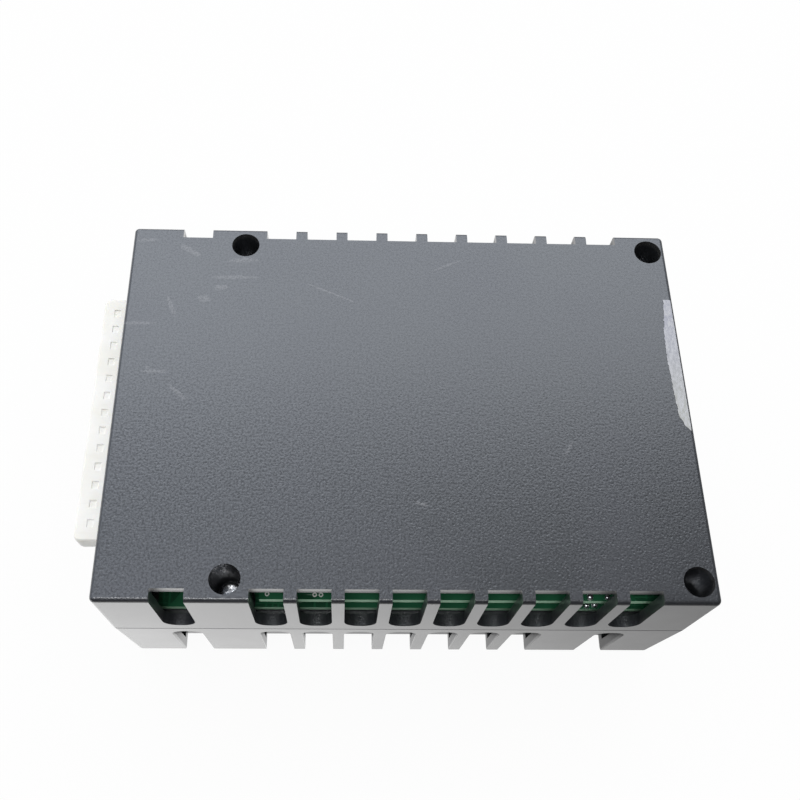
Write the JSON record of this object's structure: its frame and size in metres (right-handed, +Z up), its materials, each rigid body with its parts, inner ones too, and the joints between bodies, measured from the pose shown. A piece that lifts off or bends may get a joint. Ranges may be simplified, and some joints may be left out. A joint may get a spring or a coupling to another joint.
{
  "type": "stepper motor driver module",
  "caption": "Flat black vented two-part plastic case around two stacked circuit boards, with a white header on one end and a selector switch.",
  "frame": {"origin": "centre of the underside of the whole module's box", "axes": "+Z up from the base to the plain top face, +X along the case away from the header, -Y towards one row of vents"},
  "size_m": [0.1136, 0.0772, 0.038],
  "materials": {
    "case_black": "moulded, fine spark-eroded grain with a half-gloss",
    "nylon_white": "natural moulded nylon, satin",
    "board_green": "glass-fibre laminate with green solder mask",
    "contact_tin": "tin plated, bright",
    "screw_zinc": "zinc plated steel",
    "spacer_brass": "turned, plain",
    "sink_aluminium": "extruded, plain",
    "can_nickel": "drawn and plated, satin",
    "capacitor_sleeve": "shrunk sleeve",
    "resin_black": "moulded resin",
    "pad_grey": "soft, matt",
    "ferrite_grey": "pressed and sintered",
    "fuse_ceramic": "matt, pale",
    "switch_blue": "moulded, satin",
    "slider_white": "moulded, satin"
  },
  "bodies": {
    "module": {"upper_shell": "case_black", "lower_shell": "case_black", "header_housing": "nylon_white", "control_board": "board_green", "power_board": "board_green", "header_pin_01": "contact_tin", "header_pin_02": "contact_tin", "header_pin_03": "contact_tin", "header_pin_04": "contact_tin", "header_pin_05": "contact_tin", "header_pin_06": "contact_tin", "header_pin_07": "contact_tin", "header_pin_08": "contact_tin", "header_pin_09": "contact_tin", "header_pin_10": "contact_tin", "header_pin_11": "contact_tin", "header_pin_12": "contact_tin", "header_pin_13": "contact_tin", "case_screw_1": "screw_zinc", "case_screw_2": "screw_zinc", "case_screw_3": "screw_zinc", "case_screw_4": "screw_zinc", "board_screw_1": "screw_zinc", "board_screw_2": "screw_zinc", "board_screw_3": "screw_zinc", "board_screw_4": "screw_zinc", "spacer_1": "spacer_brass", "spacer_2": "spacer_brass", "spacer_3": "spacer_brass", "spacer_4": "spacer_brass", "heat_sink": "sink_aluminium", "crystal": "can_nickel", "bulk_capacitor_1": "capacitor_sleeve", "bulk_capacitor_2": "capacitor_sleeve", "motor_driver_chip": "resin_black", "voltage_regulator": "resin_black", "microcontroller": "resin_black", "board_link": "resin_black", "optocoupler_1": "resin_black", "optocoupler_2": "resin_black", "optocoupler_3": "resin_black", "sense_resistor_1": "resin_black", "sense_resistor_2": "resin_black", "thermal_pad": "pad_grey", "power_inductor": "ferrite_grey", "input_fuse": "fuse_ceramic", "selector_switch": "switch_blue"},
    "selector_1": {"selector_slider_1": "slider_white"},
    "selector_2": {"selector_slider_2": "slider_white"},
    "selector_3": {"selector_slider_3": "slider_white"},
    "selector_4": {"selector_slider_4": "slider_white"},
    "selector_5": {"selector_slider_5": "slider_white"},
    "selector_6": {"selector_slider_6": "slider_white"}
  },
  "joints": [
    {"name": "selector_1_slide", "type": "slide", "parent": "module", "child": "selector_1", "axis": [0, 0, 1], "range_m": [0, 0.0016]},
    {"name": "selector_2_slide", "type": "slide", "parent": "module", "child": "selector_2", "axis": [0, 0, 1], "range_m": [0, 0.0016]},
    {"name": "selector_3_slide", "type": "slide", "parent": "module", "child": "selector_3", "axis": [0, 0, 1], "range_m": [0, 0.0016]},
    {"name": "selector_4_slide", "type": "slide", "parent": "module", "child": "selector_4", "axis": [0, 0, 1], "range_m": [0, 0.0016]},
    {"name": "selector_5_slide", "type": "slide", "parent": "module", "child": "selector_5", "axis": [0, 0, 1], "range_m": [0, 0.0016]},
    {"name": "selector_6_slide", "type": "slide", "parent": "module", "child": "selector_6", "axis": [0, 0, 1], "range_m": [0, 0.0016]}
  ]
}
